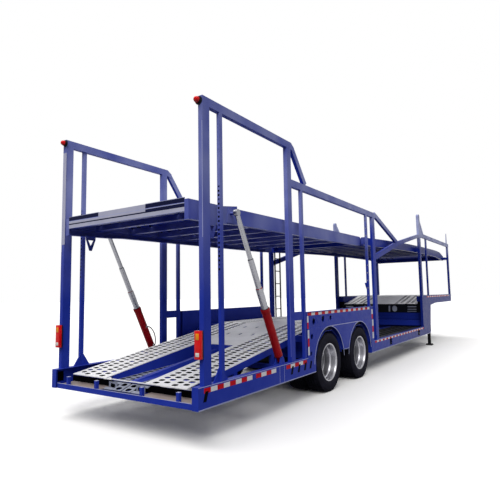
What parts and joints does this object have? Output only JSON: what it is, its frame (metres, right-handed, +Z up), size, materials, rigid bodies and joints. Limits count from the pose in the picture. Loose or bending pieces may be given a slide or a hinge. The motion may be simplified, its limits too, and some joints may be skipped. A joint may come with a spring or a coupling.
{
  "type": "car carrier semi-trailer",
  "caption": "Double-deck car carrier semi-trailer on twin tyres, with a tilting rear upper deck on lift cylinders, rear ramps, a gooseneck and landing legs.",
  "frame": {"origin": "middle of the length and width, on the floor", "axes": "+X forward to the gooseneck, along the longest side; +Y left; +Z up"},
  "size_m": [13.45, 2.55, 3.79],
  "materials": {
    "blue_paint": "gloss",
    "galvanised_plate": "satin",
    "tyre_rubber": "matte",
    "silver_wheel": "satin",
    "red_paint": "gloss",
    "rod_steel": "satin",
    "black_paint": "satin",
    "bright_steel": "machined",
    "red_lens": "gloss"
  },
  "bodies": {
    "trailer": {"axle_beams": "black_paint", "axle_deck_plates": "galvanised_plate", "axle_frame": "blue_paint", "axle_side_panels": "blue_paint", "cylinder_mounts": "blue_paint", "deck_hangers": "blue_paint", "diagonal_braces": "blue_paint", "front_deck_beams": "blue_paint", "front_deck_cross_members": "blue_paint", "front_deck_plates": "galvanised_plate", "gooseneck_deck": "galvanised_plate", "gooseneck_frame": "blue_paint", "gooseneck_riser": "blue_paint", "gooseneck_side_plates": "blue_paint", "guide_posts": "blue_paint", "gussets": "blue_paint", "kingpin": "bright_steel", "ladder": "black_paint", "landing_leg_shaft": "black_paint", "landing_legs": "black_paint", "leaf_springs": "black_paint", "main_posts": "blue_paint", "marker_lamps": "red_lens", "mid_cross_members": "blue_paint", "mid_track_plates": "black_paint", "ramp_centre_floor": "galvanised_plate", "ramp_frames": "blue_paint", "ramp_track_plates": "galvanised_plate", "rear_cross_beam": "blue_paint", "rubbing_plate": "black_paint", "side_beams": "blue_paint", "spring_hangers": "black_paint", "stay_posts": "blue_paint", "step_wall": "blue_paint", "tail_lamps": "red_lens", "top_rails": "blue_paint"},
    "rear_deck": {"rear_deck_beams": "blue_paint", "rear_deck_cross_members": "blue_paint", "rear_deck_plates": "galvanised_plate", "rod_brackets": "blue_paint"},
    "barrel_left": {"barrel_left": "red_paint"},
    "first_stage_left": {"first_stage_left": "rod_steel"},
    "second_stage_left": {"second_stage_left": "rod_steel"},
    "rod_left": {"rod_left": "rod_steel"},
    "wheel_rear_left": {"tyres_rear_left": "tyre_rubber", "wheel_rear_left": "silver_wheel"},
    "wheel_front_left": {"tyres_front_left": "tyre_rubber", "wheel_front_left": "silver_wheel"},
    "barrel_right": {"barrel_right": "red_paint"},
    "first_stage_right": {"first_stage_right": "rod_steel"},
    "second_stage_right": {"second_stage_right": "rod_steel"},
    "rod_right": {"rod_right": "rod_steel"},
    "wheel_rear_right": {"tyres_rear_right": "tyre_rubber", "wheel_rear_right": "silver_wheel"},
    "wheel_front_right": {"tyres_front_right": "tyre_rubber", "wheel_front_right": "silver_wheel"}
  },
  "joints": [
    {"name": "wheel_rear_left_spin", "type": "hinge", "parent": "trailer", "child": "wheel_rear_left", "pos_m": [-3.452, 0.9665, 0.463], "axis": [0, 1, 0], "continuous": true},
    {"name": "wheel_rear_right_spin", "type": "hinge", "parent": "trailer", "child": "wheel_rear_right", "pos_m": [-3.452, -0.9665, 0.463], "axis": [0, 1, 0], "continuous": true},
    {"name": "wheel_front_left_spin", "type": "hinge", "parent": "trailer", "child": "wheel_front_left", "pos_m": [-2.094, 0.9665, 0.463], "axis": [0, 1, 0], "continuous": true},
    {"name": "wheel_front_right_spin", "type": "hinge", "parent": "trailer", "child": "wheel_front_right", "pos_m": [-2.094, -0.9665, 0.463], "axis": [0, 1, 0], "continuous": true},
    {"name": "rear_deck_tilt", "type": "hinge", "parent": "trailer", "child": "rear_deck", "pos_m": [-1.395, 0, 2.6], "axis": [0, -1, 0], "range_deg": [0, 18.5]},
    {"name": "barrel_pivot_left", "type": "hinge", "parent": "trailer", "child": "barrel_left", "pos_m": [-4.963, 1.21, 0.7], "axis": [0, -1, 0], "range_deg": [0, 31.3]},
    {"name": "first_stage_slide_left", "type": "slide", "parent": "barrel_left", "child": "first_stage_left", "axis": [0.4529, 0, -0.8915], "range_m": [0, 0.2901]},
    {"name": "second_stage_slide_left", "type": "slide", "parent": "first_stage_left", "child": "second_stage_left", "axis": [0.4529, 0, -0.8915], "range_m": [0, 0.4051]},
    {"name": "rod_slide_left", "type": "slide", "parent": "second_stage_left", "child": "rod_left", "axis": [0.4529, 0, -0.8915], "range_m": [0, 0.5709]},
    {"name": "barrel_pivot_right", "type": "hinge", "parent": "trailer", "child": "barrel_right", "pos_m": [-4.963, -1.21, 0.7], "axis": [0, -1, 0], "range_deg": [0, 31.3]},
    {"name": "first_stage_slide_right", "type": "slide", "parent": "barrel_right", "child": "first_stage_right", "axis": [0.4529, 0, -0.8915], "range_m": [0, 0.2901]},
    {"name": "second_stage_slide_right", "type": "slide", "parent": "first_stage_right", "child": "second_stage_right", "axis": [0.4529, 0, -0.8915], "range_m": [0, 0.4051]},
    {"name": "rod_slide_right", "type": "slide", "parent": "second_stage_right", "child": "rod_right", "axis": [0.4529, 0, -0.8915], "range_m": [0, 0.5709]}
  ],
  "couplings": [
    {"joint": "first_stage_slide_left", "follows": "rear_deck_tilt", "m_per_rad": 0.89815},
    {"joint": "second_stage_slide_left", "follows": "rear_deck_tilt", "m_per_rad": 1.2543},
    {"joint": "rod_slide_left", "follows": "rear_deck_tilt", "m_per_rad": 1.7678},
    {"joint": "barrel_pivot_left", "follows": "rear_deck_tilt", "ratio": 1.6914},
    {"joint": "first_stage_slide_right", "follows": "rear_deck_tilt", "m_per_rad": 0.89815},
    {"joint": "second_stage_slide_right", "follows": "rear_deck_tilt", "m_per_rad": 1.2543},
    {"joint": "rod_slide_right", "follows": "rear_deck_tilt", "m_per_rad": 1.7678},
    {"joint": "barrel_pivot_right", "follows": "rear_deck_tilt", "ratio": 1.6914}
  ]
}
